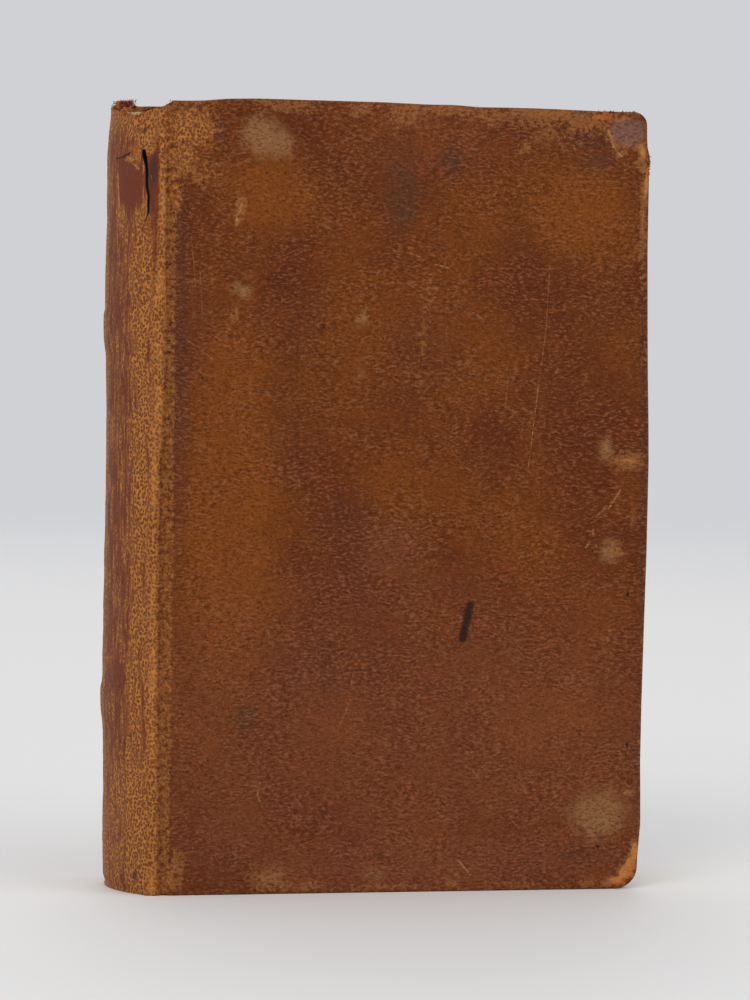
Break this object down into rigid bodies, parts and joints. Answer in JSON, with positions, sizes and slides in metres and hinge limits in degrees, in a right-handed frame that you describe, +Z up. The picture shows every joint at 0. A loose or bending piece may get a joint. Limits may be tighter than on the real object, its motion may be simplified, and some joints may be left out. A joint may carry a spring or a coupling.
{
  "type": "antique leather book",
  "caption": "Old thick book in a full sheepskin binding, with a rounded spine over low bands, a torn head and hinged covers that open flat.",
  "frame": {"origin": "centre of the closed book's footprint, on the surface that its tail stands on", "axes": "+Z up from tail to head, +X from the spine towards the fore-edge, the front cover faces -Y"},
  "size_m": [0.123, 0.04, 0.18],
  "materials": {
    "binding_leather": "worn sheepskin, satin, rubbed to ochre along the edges",
    "leaves": "browned matt paper",
    "endpaper": "matt paper with browned edges",
    "lining_paper": "glue-stained matt paper",
    "pasteboard": "matt grey-brown pasteboard",
    "tawed_skin": "matt pale tawed skin",
    "sewing_thread": "matt linen thread"
  },
  "bodies": {
    "book_block": {"text_block": "leaves", "spine_lining_head": "lining_paper", "spine_lining_middle": "lining_paper", "spine_lining_tail": "lining_paper", "sewing_thong_upper": "tawed_skin", "sewing_thong_lower": "tawed_skin", "kettle_stitch_head": "sewing_thread", "kettle_stitch_tail": "sewing_thread", "spine_leather": "binding_leather"},
    "front_cover": {"front_board": "pasteboard", "front_cover_leather": "binding_leather", "front_pastedown": "endpaper", "front_slip_upper": "tawed_skin", "front_slip_lower": "tawed_skin"},
    "rear_cover": {"rear_board": "pasteboard", "rear_cover_leather": "binding_leather", "rear_pastedown": "endpaper", "rear_slip_upper": "tawed_skin", "rear_slip_lower": "tawed_skin"}
  },
  "joints": [
    {"name": "front_cover_hinge", "type": "hinge", "parent": "book_block", "child": "front_cover", "pos_m": [-0.05105, -0.0202, 0.09], "axis": [0, 0, -1], "range_deg": [0, 175]},
    {"name": "rear_cover_hinge", "type": "hinge", "parent": "book_block", "child": "rear_cover", "pos_m": [-0.05105, 0.0202, 0.09], "axis": [0, 0, 1], "range_deg": [0, 175]}
  ]
}
